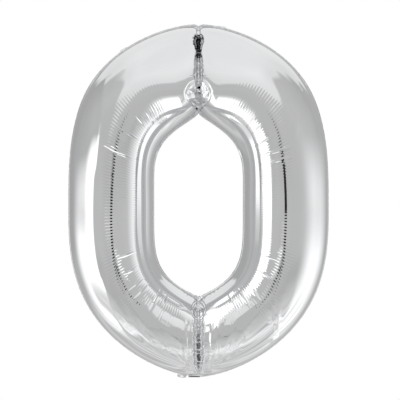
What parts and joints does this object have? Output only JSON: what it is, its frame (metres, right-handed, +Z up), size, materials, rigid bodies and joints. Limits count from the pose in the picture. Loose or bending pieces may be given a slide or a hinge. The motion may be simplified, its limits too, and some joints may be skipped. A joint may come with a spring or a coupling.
{
  "type": "foil number balloon",
  "caption": "Silver foil balloon in the shape of the digit 0, with a self-sealing inflation neck and holed hanging tabs.",
  "frame": {"origin": "the hanging point: top centre of the outer weld's edge, in the balloon's middle plane", "axes": "+Z up, +X to the right of somebody looking at the front, the front faces -Y"},
  "size_m": [0.6346, 0.2142, 0.8638],
  "materials": {
    "silver_foil": "mirror-bright metallised film, taut, with fine puckers along the inner weld",
    "weld_foil": "two metallised sheets heat-welded flat, slightly duller and rippled",
    "valve_film": "clear polyethylene film, satin",
    "release_ink": "matt printed release ink"
  },
  "bodies": {
    "envelope": {"front_panel": "silver_foil", "back_panel": "silver_foil", "outer_weld": "weld_foil", "inner_weld": "weld_foil"},
    "neck": {"neck_front_foil": "silver_foil", "valve_mouth_front_film": "valve_film", "valve_mouth_back_film": "valve_film", "neck_back_foil": "silver_foil"},
    "valve_front_lip": {"valve_front_film": "valve_film"},
    "valve_back_lip": {"valve_release_strip": "release_ink", "valve_back_film": "valve_film"},
    "tab_top_left": {"hanging_tab_top_left": "weld_foil"},
    "tab_top_right": {"hanging_tab_top_right": "weld_foil"},
    "tab_bottom_left": {"hanging_tab_bottom_left": "weld_foil"}
  },
  "joints": [
    {"name": "neck_fold", "type": "hinge", "parent": "envelope", "child": "neck", "pos_m": [-0.01, 0.003, -0.85865], "axis": [1, 0, 0], "range_deg": [-170, 8]},
    {"name": "valve_front_open", "type": "hinge", "parent": "envelope", "child": "valve_front_lip", "pos_m": [-0.01, -0.0006, -0.848], "axis": [1, 0, 0], "range_deg": [0, 8]},
    {"name": "valve_back_open", "type": "hinge", "parent": "envelope", "child": "valve_back_lip", "pos_m": [-0.01, 0.0006, -0.848], "axis": [1, 0, 0], "range_deg": [-6, 0]},
    {"name": "tab_top_left_fold", "type": "hinge", "parent": "envelope", "child": "tab_top_left", "pos_m": [-0.18087, 0, -0.06146], "axis": [-0.8781, 0, -0.4784], "range_deg": [-170, 25]},
    {"name": "tab_top_right_fold", "type": "hinge", "parent": "envelope", "child": "tab_top_right", "pos_m": [0.05599, 0, -0.0074], "axis": [-0.9864, 0, 0.1645], "range_deg": [-170, 25]},
    {"name": "tab_bottom_left_fold", "type": "hinge", "parent": "envelope", "child": "tab_bottom_left", "pos_m": [-0.0404, 0.00408, -0.8533], "axis": [0.993, 0, -0.1183], "range_deg": [-95, 30]}
  ],
  "couplings": [
    {"joint": "valve_front_open", "follows": "valve_back_open", "ratio": -1}
  ]
}
